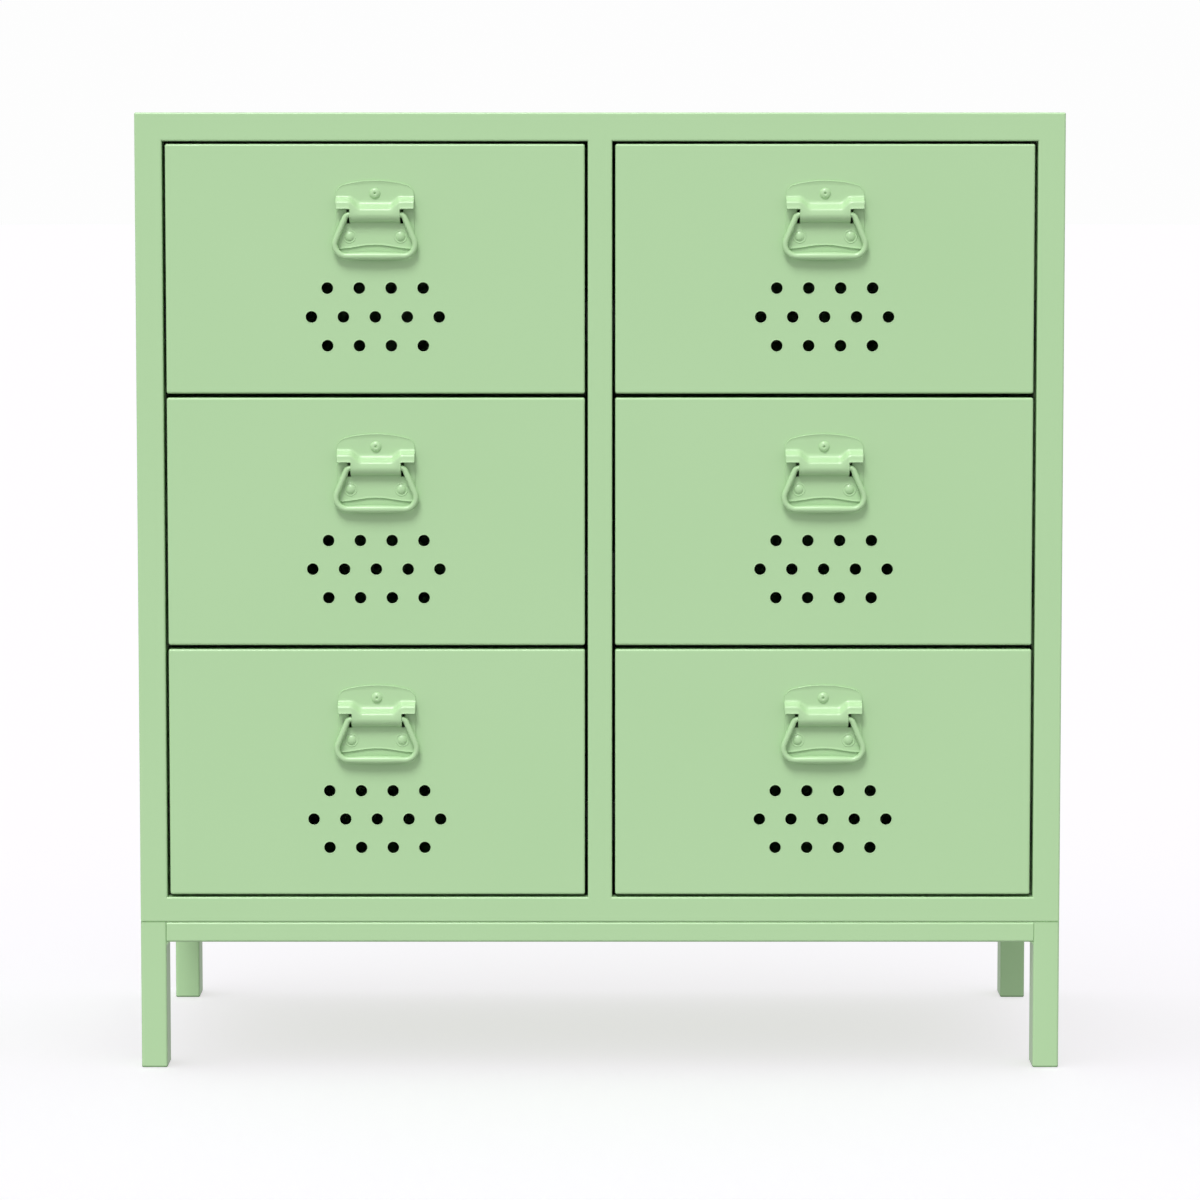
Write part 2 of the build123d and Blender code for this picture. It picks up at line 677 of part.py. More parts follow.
# Hood: a ramp, a crest bend, a front that leans back and a lower bend
barrel_low = BAIL_WIRE / 2 + BAIL_CLEARANCE + PLATE_SHEET
ramp_run = hood_height * 0.55


def hood_face(x, lift, inset=0.0):
    """The hood's section at one place, raised at its upper side by lift and thinned by inset."""
    top = hood_height - inset
    low = inset - barrel_low
    high = barrel_low + lift - inset
    corners = [(high + ramp_run, 0), (high, top), (low, top - HOOD_LEAN), (low, 0)]
    bend = HOOD_BEND - inset
    line = FilletPolyline(*[plate_point(x, *corner) for corner in corners], radius=[0, bend, bend, 0], close=True)
    return make_face(line)


step_x = barrel_half - BARREL_STEP
hood_lifts = [(-barrel_half, WING_RISE), (-step_x, 0), (step_x, 0), (barrel_half, WING_RISE)]
hood = loft([hood_face(x, lift) for x, lift in hood_lifts], ruled=True)
hollow_start = hood_face(-plate_half, 0, PLATE_SHEET)
hood_hollow = extrude(hollow_start, PLATE_WIDTH, dir=(1, 0, 0))

# Wings beside the hood, cut free of the lower leaf
wing_length = plate_half - barrel_half
wing_core = hood_face(-plate_half, WING_RISE, PLATE_SHEET)
below_wing = block((-PLATE_WIDTH, PLATE_WIDTH), (front_y - 2 * hood_height, front_y),
                   (HANDLE_HEIGHT - 2 * PLATE_BOTTOM, HANDLE_HEIGHT + WING_CUT))
left_wing = extrude(hood_face(-plate_half, WING_RISE), wing_length, dir=(1, 0, 0)) - below_wing
under_wing = extrude(wing_core, PLATE_WIDTH, dir=(1, 0, 0)) - below_wing
left_wing -= under_wing
right_wing = mirror(left_wing, Plane.YZ)
hollow_reach = block((-barrel_half, barrel_half), (front_y - hood_height, front_y),
                     (HANDLE_HEIGHT - PLATE_BOTTOM, HANDLE_HEIGHT + PLATE_TOP))

handle_plate = (upper_leaf - under_wing) + lower_leaf + hood + left_wing + right_wing
handle_plate -= hood_hollow & hollow_reach
handle_plate -= lance_slots
for x, z in rivet_places:
    handle_plate -= rod(rivet_hole, -2 * hood_height, 2 * hood_height, forward(x, z))

rivet_shape = turned([
    (0, RIVET_HEAD_HEIGHT - RIVET_BORE / 2),
    (RIVET_BORE / 2, RIVET_HEAD_HEIGHT - RIVET_BORE / 2),
    (RIVET_BORE / 2, RIVET_HEAD_HEIGHT),
    (RIVET_HEAD_DIAMETER * 0.3, RIVET_HEAD_HEIGHT * 0.9),
    (RIVET_HEAD_DIAMETER * 0.42, RIVET_HEAD_HEIGHT * 0.62),
    (RIVET_HEAD_DIAMETER / 2, RIVET_RIM),
    (RIVET_HEAD_DIAMETER / 2, 0),
    (RIVET_DIAMETER / 2, 0),
    (RIVET_DIAMETER / 2, -PLATE_SHEET - FRONT_SHEET),
    (RIVET_TAIL_DIAMETER / 2, -PLATE_SHEET - FRONT_SHEET),
    (RIVET_TAIL_DIAMETER / 2, -PLATE_SHEET - FRONT_SHEET - RIVET_TAIL_LENGTH * 0.6),
    (RIVET_DIAMETER / 2, -PLATE_SHEET - FRONT_SHEET - RIVET_TAIL_LENGTH),
    (0, -PLATE_SHEET - FRONT_SHEET - RIVET_TAIL_LENGTH),
])
rivets = [forward(x, z, front_y - PLATE_SHEET) * rivet_shape for x, z in rivet_places]


def bail_point(x, rise):
    """A point on the bail's middle line."""
    return plate_point(x, rise, BAIL_STANDOFF)


# Bail: bent wire with a swelled grip, its two ends held inside the hood
bail_line = FilletPolyline(
    bail_point(-BAIL_END_GAP / 2, 0),
    bail_point(-BAIL_TOP_HALF, 0),
    bail_point(-BAIL_BOTTOM_HALF, -BAIL_DROP),
    bail_point(BAIL_BOTTOM_HALF, -BAIL_DROP),
    bail_point(BAIL_TOP_HALF, 0),
    bail_point(BAIL_END_GAP / 2, 0),
    radius=[BAIL_TOP_BEND, BAIL_BOTTOM_BEND, BAIL_BOTTOM_BEND, BAIL_TOP_BEND],
)
wire_section = Plane(origin=bail_line @ 0, z_dir=bail_line % 0) * Circle(BAIL_WIRE / 2)
grip_half = BAIL_TOP_HALF - BAIL_WIRE / 2
grip_end = BAIL_WIRE * 0.48
grip_arc = ThreePointArc(bail_point(-grip_half, grip_end - BAIL_DROP), bail_point(0, BAIL_GRIP / 2 - BAIL_DROP),
                         bail_point(grip_half, grip_end - BAIL_DROP))
grip_sides = Polyline(bail_point(grip_half, grip_end - BAIL_DROP), bail_point(grip_half, -BAIL_DROP),
                      bail_point(-grip_half, -BAIL_DROP), bail_point(-grip_half, grip_end - BAIL_DROP))
grip = revolve(make_face([grip_arc, grip_sides]), Axis(bail_point(0, -BAIL_DROP), (1, 0, 0)))
handle_bail = sweep(wire_section, path=bail_line) + grip

# Write one file for each node
os.makedirs("parts", exist_ok=True)
fixed_nodes = {
    "left_side_panel": left_side_panel,
    "right_side_panel": right_side_panel,
    "top_panel": top_panel,
    "bottom_panel": bottom_panel,
    "back_panel": back_panel,
    "centre_partition": centre_partition,
    "slide_uprights": slide_uprights,
    "front_apron": front_apron,
    "rear_apron": rear_apron,
    "side_aprons": side_aprons,
    "foot_glides": foot_glides,
    "base_bolts": base_bolts,
    "back_screws": back_screws,
}
for name, leg in legs.items():
    fixed_nodes["leg_" + name] = leg
drawer_nodes = {
    "drawer_front": [drawer_front],
    "drawer_box": drawer_box,
    "handle_plate": [handle_plate],
    "handle_rivets": rivets,
    "handle_bail": [handle_bail],
    "inner_slides": inner_pair,
    "ball_cages": cage_pair,
}
fixed_slides = []
for row, row_name in enumerate(("top", "middle", "bottom")):
    for side_name, side in (("left", -1), ("right", 1)):
        row_z = opening_low + FRONT_END_GAP + (ROW_COUNT - 1 - row) * row_pitch
        place = Pos(side * column_x, 0, row_z)
        fixed_slides += [place * shape for shape in outer_pair]
        for name, shapes in drawer_nodes.items():
            moved = [place * shape for shape in shapes]
            node = moved[0] if len(moved) == 1 else group(moved)
            export_step(node, "parts/" + name + "_" + row_name + "_" + side_name + ".step")
fixed_nodes["outer_slides"] = group(fixed_slides)
for name, shape in fixed_nodes.items():
    export_step(shape, "parts/" + name + ".step")
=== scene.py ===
import json
import math
import bmesh
import bpy
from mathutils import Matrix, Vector


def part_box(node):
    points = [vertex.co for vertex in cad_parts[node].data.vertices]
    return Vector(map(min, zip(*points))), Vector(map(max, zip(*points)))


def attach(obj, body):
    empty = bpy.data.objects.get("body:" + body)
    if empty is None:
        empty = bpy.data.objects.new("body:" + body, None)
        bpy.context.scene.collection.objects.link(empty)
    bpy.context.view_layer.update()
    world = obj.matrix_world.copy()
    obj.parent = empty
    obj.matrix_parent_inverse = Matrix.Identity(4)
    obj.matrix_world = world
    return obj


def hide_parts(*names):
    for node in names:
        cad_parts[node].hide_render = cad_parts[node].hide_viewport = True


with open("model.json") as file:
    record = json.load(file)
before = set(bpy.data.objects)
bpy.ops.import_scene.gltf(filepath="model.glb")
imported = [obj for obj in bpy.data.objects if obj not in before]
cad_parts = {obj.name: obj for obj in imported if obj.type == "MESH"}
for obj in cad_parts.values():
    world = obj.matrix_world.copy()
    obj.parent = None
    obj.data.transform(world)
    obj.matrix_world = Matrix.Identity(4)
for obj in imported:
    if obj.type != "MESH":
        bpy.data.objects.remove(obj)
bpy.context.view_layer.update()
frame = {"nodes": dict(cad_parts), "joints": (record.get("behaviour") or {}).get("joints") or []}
nodes = frame["nodes"]
MM = 0.001

# The base: four legs and their aprons of rectangular steel tube, sawn square, welded at the corners
# with the beads ground flush, and powder-coated in mint green together with the carcass.


def linear(code):
    """An sRGB hex colour as linear red, green, blue and alpha."""
    parts = [int(code[i:i + 2], 16) / 255 for i in (1, 3, 5)]
    return tuple(c / 12.92 if c <= 0.04045 else ((c + 0.055) / 1.055) ** 2.4 for c in parts) + (1.0,)


def add(tree, kind, inputs=None, **settings):
    """A new node with its settings, and its sockets set to values or linked from other sockets."""
    node = tree.nodes.new(kind)
    for name, value in settings.items():
        setattr(node, name, value)
    for name, value in (inputs or {}).items():
        if isinstance(value, bpy.types.NodeSocket):
            tree.links.new(value, node.inputs[name])
        else:
            node.inputs[name].default_value = value
    return node


def new_material(name):
    """An empty material and its node tree."""
    material = bpy.data.materials.new(name)
    material.use_nodes = True
    material.node_tree.nodes.clear()
    return material, material.node_tree


# Mint powder coat: an even satin paint whose slow cloudiness and fine orange peel break up the highlights
mint_coat, tree = new_material("mint powder coat")
place = add(tree, "ShaderNodeTexCoord").outputs["Object"]
cloud = add(tree, "ShaderNodeTexNoise", {"Vector": place, "Scale": 1 / (180 * MM), "Detail": 2.0})
tone = add(tree, "ShaderNodeMix", {"Factor": cloud.outputs["Fac"], 6: linear("#AFD4A1"), 7: linear("#B3D6A5")},
           data_type="RGBA")
peel = add(tree, "ShaderNodeTexNoise", {"Vector": place, "Scale": 1 / (3 * MM), "Detail": 2.0})
grain = add(tree, "ShaderNodeBump", {"Height": peel.outputs["Fac"], "Strength": 0.25, "Distance": 0.06 * MM})
sheen = add(tree, "ShaderNodeMapRange", {"Value": cloud.outputs["Fac"], "To Min": 0.26, "To Max": 0.33})
skin = add(tree, "ShaderNodeBsdfPrincipled", {
    "Base Color": tone.outputs[2], "Roughness": sheen.outputs["Result"], "Normal": grain.outputs["Normal"],
    "Specular IOR Level": 0.5})
add(tree, "ShaderNodeOutputMaterial", {"Surface": skin.outputs["BSDF"]})


def finish(name, material):
    """Gives a carried-over node its material."""
    nodes[name].data.materials.clear()
    nodes[name].data.materials.append(material)


for name in ("leg_front_left", "leg_front_right", "leg_rear_left", "leg_rear_right",
             "front_apron", "rear_apron", "side_aprons"):
    finish(name, mint_coat)

# Foot glides: ribbed plugs of moulded plastic pushed into the open ends of the legs,
# coloured close to the paint so that they hardly show.
glide_plastic, tree = new_material("green moulded plastic")
place = add(tree, "ShaderNodeTexCoord").outputs["Object"]
grit = add(tree, "ShaderNodeTexNoise", {"Vector": place, "Scale": 1 / (0.8 * MM), "Detail": 3.0})
texture = add(tree, "ShaderNodeBump", {"Height": grit.outputs["Fac"], "Strength": 0.3, "Distance": 0.05 * MM})
skin = add(tree, "ShaderNodeBsdfPrincipled", {
    "Base Color": linear("#86A87B"), "Roughness": 0.55, "Normal": texture.outputs["Normal"]})
add(tree, "ShaderNodeOutputMaterial", {"Surface": skin.outputs["BSDF"]})
finish("foot_glides", glide_plastic)

# The carcass: side, top and bottom panels of folded steel sheet whose edges turn in as stiles and rails,
# a box-section partition with the centre post as its front edge, and a flat screwed-on back.
for name in ("left_side_panel", "right_side_panel", "top_panel", "bottom_panel", "centre_partition", "back_panel",
             "slide_uprights"):
    finish(name, mint_coat)

# Base bolts: steel bolts up through the side aprons into weld nuts on the bottom panel. Their bright zinc plate,
# which the ball cages and the back screws share, is a mirror dulled and faintly mottled by the plating bath.
zinc_plate, tree = new_material("bright zinc plate")
place = add(tree, "ShaderNodeTexCoord").outputs["Object"]
bath = add(tree, "ShaderNodeTexNoise", {"Vector": place, "Scale": 1 / (14 * MM), "Detail": 4.0})
tint = add(tree, "ShaderNodeMix", {"Factor": bath.outputs["Fac"], 6: linear("#BFC2C3"), 7: linear("#D3D6D8")},
           data_type="RGBA")
gloss = add(tree, "ShaderNodeMapRange", {"Value": bath.outputs["Fac"], "To Min": 0.26, "To Max": 0.40})
skin = add(tree, "ShaderNodeBsdfPrincipled", {
    "Base Color": tint.outputs[2], "Metallic": 1.0, "Roughness": gloss.outputs["Result"]})
add(tree, "ShaderNodeOutputMaterial", {"Surface": skin.outputs["BSDF"]})
finish("base_bolts", zinc_plate)

# Slides: roll-formed steel channels screwed to the uprights and the partition, dipped in a black electro-coat
# that is thin and slightly uneven, so that their highlights are soft and broken. Its black is also painted shade:
# it keeps the gaps beside the drawers as dark as the shade that falls in them.
black_coat_and_gap_shade, tree = new_material("black electro-coat")
place = add(tree, "ShaderNodeTexCoord").outputs["Object"]
film = add(tree, "ShaderNodeTexNoise", {"Vector": place, "Scale": 1 / (9 * MM), "Detail": 3.0})
tint = add(tree, "ShaderNodeMix", {"Factor": film.outputs["Fac"], 6: linear("#141416"), 7: linear("#1D1D20")},
           data_type="RGBA")
gloss = add(tree, "ShaderNodeMapRange", {"Value": film.outputs["Fac"], "To Min": 0.38, "To Max": 0.52})
skin = add(tree, "ShaderNodeBsdfPrincipled", {"Base Color": tint.outputs[2], "Roughness": gloss.outputs["Result"]})
add(tree, "ShaderNodeOutputMaterial", {"Surface": skin.outputs["BSDF"]})
finish("outer_slides", black_coat_and_gap_shade)

# Drawers: a folded sheet front with thirteen punched vents, a spot-welded tray behind it, and on each side
# a ball-bearing slide whose cage of balls follows at half the drawer's speed.
tags = [row + "_" + side for row in ("top", "middle", "bottom") for side in ("left", "right")]
for tag in tags:
    finish("drawer_front_" + tag, mint_coat)
    finish("drawer_box_" + tag, mint_coat)
    # The inner slides get the same black coat, whose black is also painted shade in the gaps beside the drawers.
    finish("inner_slides_" + tag, black_coat_and_gap_shade)
    finish("ball_cages_" + tag, zinc_plate)

# Handle plates: one pressing of 1.2 mm steel per drawer. Its upper leaf swells into two wings, which step down
# into the barrel that holds the bail; the lower leaf is lanced free of the wings and riveted to the front.
plate_low, plate_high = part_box("handle_plate_top_left")
hinges = {j["child"]: Vector(j["pos_m"]) for j in frame["joints"] if j["type"] == "hinge"}
axle = hinges["bail_top_left"]
front_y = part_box("drawer_front_top_left")[0].y
PLATE_SHEET = 1.2 * MM
EDGE_ROLL = 0.7 * MM
plate_half = (plate_high.x - plate_low.x) / 2 - EDGE_ROLL
plate_top = plate_high.z - axle.z - EDGE_ROLL
plate_bottom = plate_low.z - axle.z + EDGE_ROLL
hood_height = front_y - plate_low.y - 0.4 * EDGE_ROLL
barrel_half = 21.75 * MM - EDGE_ROLL
slot_half = barrel_half + 2.4 * MM + 2 * EDGE_ROLL
slot_low = -7.5 * MM - EDGE_ROLL
TOP_ARCH = 5.4 * MM
TOP_CORNER = 6.2 * MM
TOP_CORNER_STEPS = 8
BOTTOM_ARCH = 3.4 * MM
LEAF_CORNER = 2.6 * MM
LEAF_CORNER_STEPS = 6
LEAF_TOP = 4.2 * MM
LEAF_ROWS = 10
TAB_ROWS = 5
EVEN_COLUMNS = 34
SLOT_CLEAR = 0.4 * MM
COLUMN_GAP = 0.05 * MM
FOOT_STEP = (13.4 * MM, 21.6 * MM)
CREST_STEP = (12.6 * MM, 23.0 * MM)
BARREL_RADIUS = 8.0 * MM
BARREL_RISE = 0.6 * MM
BARREL_TURN = (-6, -56)
BARREL_STEPS = 10
UNDER_EDGE = (-6.3 * MM, 4.2 * MM)
UNDER_FOOT = (-5.6 * MM, PLATE_SHEET)


def rounded(points, radii, steps):
    """An open line with its inner corners rounded, each by the same number of points."""
    line = [Vector(points[0])]
    for before, corner, after, radius in zip(points, points[1:], points[2:], radii):
        corner = Vector(corner)
        back = (Vector(before) - corner).normalized()
        ahead = (Vector(after) - corner).normalized()
        angle = back.angle(ahead)
        reach = radius / math.tan(angle / 2)
        heart = corner + (back + ahead).normalized() * radius / math.sin(angle / 2)
        first = (corner + back * reach - heart).normalized()
        last = (corner + ahead * reach - heart).normalized()
        for step in range(steps + 1):
            line.append(heart + first.slerp(last, step / steps) * radius)
    return line + [Vector(points[-1])]


def smooth(value, start, end):
    """A soft step from 0 at the start to 1 at the end."""
    share = min(max((value - start) / (end - start), 0.0), 1.0)
    return share * share * (3 - 2 * share)


def between(barrel, wing, share):
    """A size in millimetres on the way from the barrel to the wing."""
    return (barrel + (wing - barrel) * share) * MM


def corner_drop(across, radius):
    """How far a rounded corner falls at a distance from the middle of the plate."""
    into = max(abs(across) - (plate_half - radius), 0.0)
    return radius - math.sqrt(max(radius * radius - into * into, 0.0))


def plate_columns():
    """Distances across the plate, close together at its corners and at the slots."""
    half = [i * plate_half / EVEN_COLUMNS for i in range(EVEN_COLUMNS - 3)]
    for radius, steps, first, last in (
        (TOP_CORNER, TOP_CORNER_STEPS, 3, TOP_CORNER_STEPS),
        (LEAF_CORNER, LEAF_CORNER_STEPS, 1, LEAF_CORNER_STEPS - 1),
    ):
        turns = [math.pi / 2 * step / steps for step in range(first, last + 1)]
        half += [plate_half - radius * (1 - math.sin(turn)) for turn in turns]
    half = [u for u in half if min(abs(u - barrel_half), abs(u - slot_half)) > SLOT_CLEAR]
    half = sorted(half + [barrel_half, slot_half])
    half = [u for i, u in enumerate(half) if i == 0 or u - half[i - 1] > COLUMN_GAP]
    return [-u for u in reversed(half[1:])] + half


def upper_section(across):
    """Rise and height of the upper leaf, its ramp and its crest, down to the wing's edge or the barrel's front."""
    foot_share = smooth(abs(across), *FOOT_STEP)
    crest_share = smooth(abs(across), *CREST_STEP)
    top = plate_top - TOP_ARCH * (across / plate_half) ** 2 - corner_drop(across, TOP_CORNER)
    foot = between(9.6, 15.2, foot_share)
    crest = between(4.6, 11.2, crest_share)
    crest_height = hood_height - between(0.75, 0.4, crest_share)
    edge = between(0.4, 5.6, crest_share)
    foot_round = between(6.5, 3.0, foot_share)
    crest_round = 3.6 * MM
    line = rounded([(top, PLATE_SHEET), (foot, PLATE_SHEET), (crest, crest_height), (edge, hood_height)],
                   [foot_round, crest_round], 8)
    leaf = [line[0].lerp(line[1], step / 4) for step in range(4)]
    return leaf + line[1:]


def barrel_section(across):
    """Rise and height of the barrel's round front, its underside and the leaf as far as the slots reach."""
    start = upper_section(across)[-1]
    heart = Vector((BARREL_RISE, hood_height - BARREL_RADIUS))
    first, last = BARREL_TURN
    turns = [math.radians(first + (last - first) * step / BARREL_STEPS) for step in range(BARREL_STEPS + 1)]
    front = [heart + Vector((math.sin(turn), math.cos(turn))) * BARREL_RADIUS for turn in turns]
    under = rounded([front[-1], UNDER_EDGE, UNDER_FOOT, (slot_low, PLATE_SHEET)], [0.9 * MM, 0.8 * MM], 4)
    return [start] + front + under[1:]


def lower_section(across):
    """The lower leaf from the slots' ends to its lower edge, hollowed in a flat wave."""
    hollow = BOTTOM_ARCH * (1 + math.cos(math.pi * across / plate_half)) / 2
    low = plate_bottom + hollow + corner_drop(across, LEAF_CORNER)
    return [Vector((slot_low + (low - slot_low) * row / LEAF_ROWS, PLATE_SHEET)) for row in range(LEAF_ROWS + 1)]


def tab_section(across):
    """The lower leaf beside the slots, up to its rounded upper corner."""
    top = LEAF_TOP - corner_drop(across, LEAF_CORNER)
    return [Vector((top + (slot_low - top) * row / TAB_ROWS, PLATE_SHEET)) for row in range(TAB_ROWS + 1)]


def add_sheet(shape, columns, section, place):
    """One strip of the pressing: a grid of faces through a section at each column."""
    rows = []
    for across in columns:
        rows.append([shape.verts.new(place + Vector((across, -p.y, p.x))) for p in section(across)])
    for left, right in zip(rows, rows[1:]):
        for i in range(len(left) - 1):
            shape.faces.new((left[i], left[i + 1], right[i + 1], right[i]))


# Reach and depth of the bead that the coat forms on an edge, as shares of the roll
EDGE_BEAD = ((0.2, -0.14), (0.42, -0.19), (0.64, -0.08), (0.84, 0.18), (0.97, 0.55))


def thicken(shape, thickness, roll):
    """Gives a sheet its thickness; the coat stands in a thin bead on its outer edges and rolls over them."""
    outer = list(shape.faces)
    skin = list(shape.verts)
    rim = [edge for edge in shape.edges if edge.is_boundary]
    out = {}
    for edge in rim:
        away = edge.link_faces[0].calc_center_median() - edge.verts[0].co
        along = (edge.verts[1].co - edge.verts[0].co).normalized()
        away = (away - along * away.dot(along)).normalized()
        for vert in edge.verts:
            out[vert] = out.get(vert, Vector()) - away
    inner = {vert: shape.verts.new(vert.co - vert.normal * thickness) for vert in skin}
    levels = [(roll * reach, roll * depth) for reach, depth in EDGE_BEAD] + [(roll, thickness - 0.1 * MM)]
    lips = {}
    for vert, way in out.items():
        way = way.normalized()
        lip = [shape.verts.new(vert.co + way * reach - vert.normal * depth) for reach, depth in levels]
        lips[vert] = [vert] + lip + [inner[vert]]
    for face in outer:
        shape.faces.new([inner[vert] for vert in reversed(face.verts)])
    for edge in rim:
        first, second = lips[edge.verts[0]], lips[edge.verts[1]]
        for i in range(len(first) - 1):
            shape.faces.new((first[i], first[i + 1], second[i + 1], second[i]))
    bmesh.ops.recalc_face_normals(shape, faces=shape.faces)


def plain_mesh(piece):
    """The piece with its modifiers worked into one plain smooth mesh."""
    bpy.context.scene.collection.objects.link(piece)
    graph = bpy.context.evaluated_depsgraph_get()
    mesh = bpy.data.meshes.new_from_object(piece.evaluated_get(graph))
    piece.modifiers.clear()
    piece.data = mesh
    mesh.polygons.foreach_set("use_smooth", [True] * len(mesh.polygons))
    return piece


def dress(piece, body, material, slot, *stands_for):
    """Hangs a finished piece on its body with its material, in place of the nodes it stands for; the slot is not
    used.
    """
    piece.data.materials.clear()
    piece.data.materials.append(material)
    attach(piece, body)
    if stands_for:
        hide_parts(*stands_for)


MERGE = 0.01 * MM
columns = plate_columns()
for tag in tags:
    shape = bmesh.new()
    place = Vector((hinges["bail_" + tag].x, front_y, hinges["bail_" + tag].z))
    add_sheet(shape, columns, upper_section, place)
    add_sheet(shape, [u for u in columns if abs(u) < barrel_half + MERGE], barrel_section, place)
    add_sheet(shape, columns, lower_section, place)
    add_sheet(shape, [u for u in columns if u < MERGE - slot_half], tab_section, place)
    add_sheet(shape, [u for u in columns if u > slot_half - MERGE], tab_section, place)
    bmesh.ops.remove_doubles(shape, verts=shape.verts, dist=MERGE)
    bmesh.ops.recalc_face_normals(shape, faces=shape.faces)
    if sum(face.normal.y * face.calc_area() for face in shape.faces) > 0:
        bmesh.ops.reverse_faces(shape, faces=shape.faces)
    shape.normal_update()
    thicken(shape, PLATE_SHEET, EDGE_ROLL)
    plate = bpy.data.objects.new("plate_" + tag, bpy.data.meshes.new("plate_" + tag))
    shape.to_mesh(plate.data)
    shape.free()
    plain_mesh(plate)
    dress(plate, "drawer_" + tag, mint_coat, "green_powder_coat", "handle_plate_" + tag)

# Bails: 5 mm steel wire bent to a trapezium, with a swelled grip rolled in the middle of its lower side.
# Its two ends are sprung into the barrel, where they turn, and it is powder-coated with the plate.
WIRE = 2.5 * MM
WIRE_SIDES = 18
SWELL = 1.0 * MM
SWELL_REACH = (36 * MM, 4 * MM)
GRIP_UNDER = 3.3 * MM
GRIP_BAND = 2 * MM
BAIL_END = 2 * MM
BAIL_NECK = 24.5 * MM
NECK_BEND = 4.2 * MM
BAIL_FOOT = 39.6 * MM
FOOT_BEND = 10 * MM
RING_SPACING = 2.5 * MM
bail_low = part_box("handle_bail_top_left")[0]
bail_drop = bail_low.z + GRIP_UNDER - axle.z
bail_line = rounded([(-BAIL_END, 0), (-BAIL_NECK, 0), (-BAIL_FOOT, bail_drop), (BAIL_FOOT, bail_drop),
                     (BAIL_NECK, 0), (BAIL_END, 0)], [NECK_BEND, FOOT_BEND, FOOT_BEND, NECK_BEND], 10)
dense = []
for here, there in zip(bail_line, bail_line[1:]):
    count = max(1, round((there - here).length / RING_SPACING))
    dense += [here.lerp(there, step / count) for step in range(count)]
dense.append(bail_line[-1])
for tag in tags:
    shape = bmesh.new()
    place = hinges["bail_" + tag]
    rings = []
    for i, point in enumerate(dense):
        ahead = (dense[min(i + 1, len(dense) - 1)] - dense[max(i - 1, 0)]).normalized()
        across = Vector((-ahead.y, ahead.x))
        grip = smooth(abs(point.x), *SWELL_REACH) if point.y < bail_drop + GRIP_BAND else 0.0
        radius = WIRE + SWELL * grip
        ring = []
        for side in range(WIRE_SIDES):
            turn = 2 * math.pi * side / WIRE_SIDES
            offset = across * math.cos(turn) * radius
            around = Vector((point.x + offset.x, math.sin(turn) * radius, point.y + offset.y))
            ring.append(shape.verts.new(place + around))
        rings.append(ring)
    for ring, following in zip(rings, rings[1:]):
        for side in range(WIRE_SIDES):
            after = (side + 1) % WIRE_SIDES
            shape.faces.new((ring[side], ring[after], following[after], following[side]))
    shape.faces.new(rings[0])
    shape.faces.new(rings[-1])
    bmesh.ops.recalc_face_normals(shape, faces=shape.faces)
    bail = bpy.data.objects.new("bail_wire_" + tag, bpy.data.meshes.new("bail_wire_" + tag))
    shape.to_mesh(bail.data)
    shape.free()
    plain_mesh(bail)
    dress(bail, "bail_" + tag, mint_coat, "green_powder_coat", "handle_bail_" + tag)

# Rivets and vent rims: blind rivets with a domed head and a mandrel hole, painted over with the plate,
# and around each punched vent the slightly raised, rounded lip that the coat builds up.


def lathe(name, profile, sides):
    """A turned master shape about the front's outward direction, from radius and height."""
    shape = bmesh.new()
    verts = [shape.verts.new((radius, -height, 0)) for radius, height in profile]
    edges = [shape.edges.new(pair) for pair in zip(verts, verts[1:])]
    bmesh.ops.spin(shape, geom=verts + edges, cent=(0, 0, 0), axis=(0, 1, 0), angle=2 * math.pi, steps=sides)
    bmesh.ops.remove_doubles(shape, verts=shape.verts, dist=0.005 * MM)
    bmesh.ops.recalc_face_normals(shape, faces=shape.faces)
    master = bpy.data.objects.new(name, bpy.data.meshes.new(name))
    shape.to_mesh(master.data)
    shape.free()
    bpy.context.scene.collection.objects.link(master)
    return master


seats = bpy.data.node_groups.new("fasteners on their seats", "GeometryNodeTree")
for label, kind in (("Seats", "Geometry"), ("Fastener", "Object"), ("Axis", "Vector"), ("Seed", "Int"),
                    ("Finish", "Material")):
    seats.interface.new_socket(label, in_out="INPUT", socket_type="NodeSocket" + kind)
seats.interface.new_socket("Fasteners", in_out="OUTPUT", socket_type="NodeSocketGeometry")
given = add(seats, "NodeGroupInput").outputs
chance = add(seats, "FunctionNodeRandomValue", {2: 0.0, 3: 2 * math.pi, "Seed": given["Seed"]}, data_type="FLOAT")
spin = add(seats, "FunctionNodeAxisAngleToRotation", {"Axis": given["Axis"], "Angle": chance.outputs[1]})
pattern = add(seats, "GeometryNodeObjectInfo", {"Object": given["Fastener"]})
copies = add(seats, "GeometryNodeInstanceOnPoints", {
    "Points": given["Seats"], "Instance": pattern.outputs["Geometry"], "Rotation": spin.outputs["Rotation"]})
real = add(seats, "GeometryNodeRealizeInstances", {"Geometry": copies.outputs["Instances"]})
coat = add(seats, "GeometryNodeSetMaterial", {"Geometry": real.outputs["Geometry"], "Material": given["Finish"]})
add(seats, "NodeGroupOutput", {"Fasteners": coat.outputs["Geometry"]})
socket = {item.name: item.identifier for item in seats.interface.items_tree if item.in_out == "INPUT"}


def fasten(name, points, fastener, axis, material, seed=7):
    """One mesh of a fastener repeated at some points."""
    piece = bpy.data.objects.new(name, bpy.data.meshes.new(name))
    piece.data.from_pydata([tuple(p) for p in points], [], [])
    repeat = piece.modifiers.new("fasteners", "NODES")
    repeat.node_group = seats
    repeat[socket["Fastener"]] = fastener
    repeat[socket["Axis"]] = axis
    repeat[socket["Seed"]] = seed
    repeat[socket["Finish"]] = material
    return plain_mesh(piece)


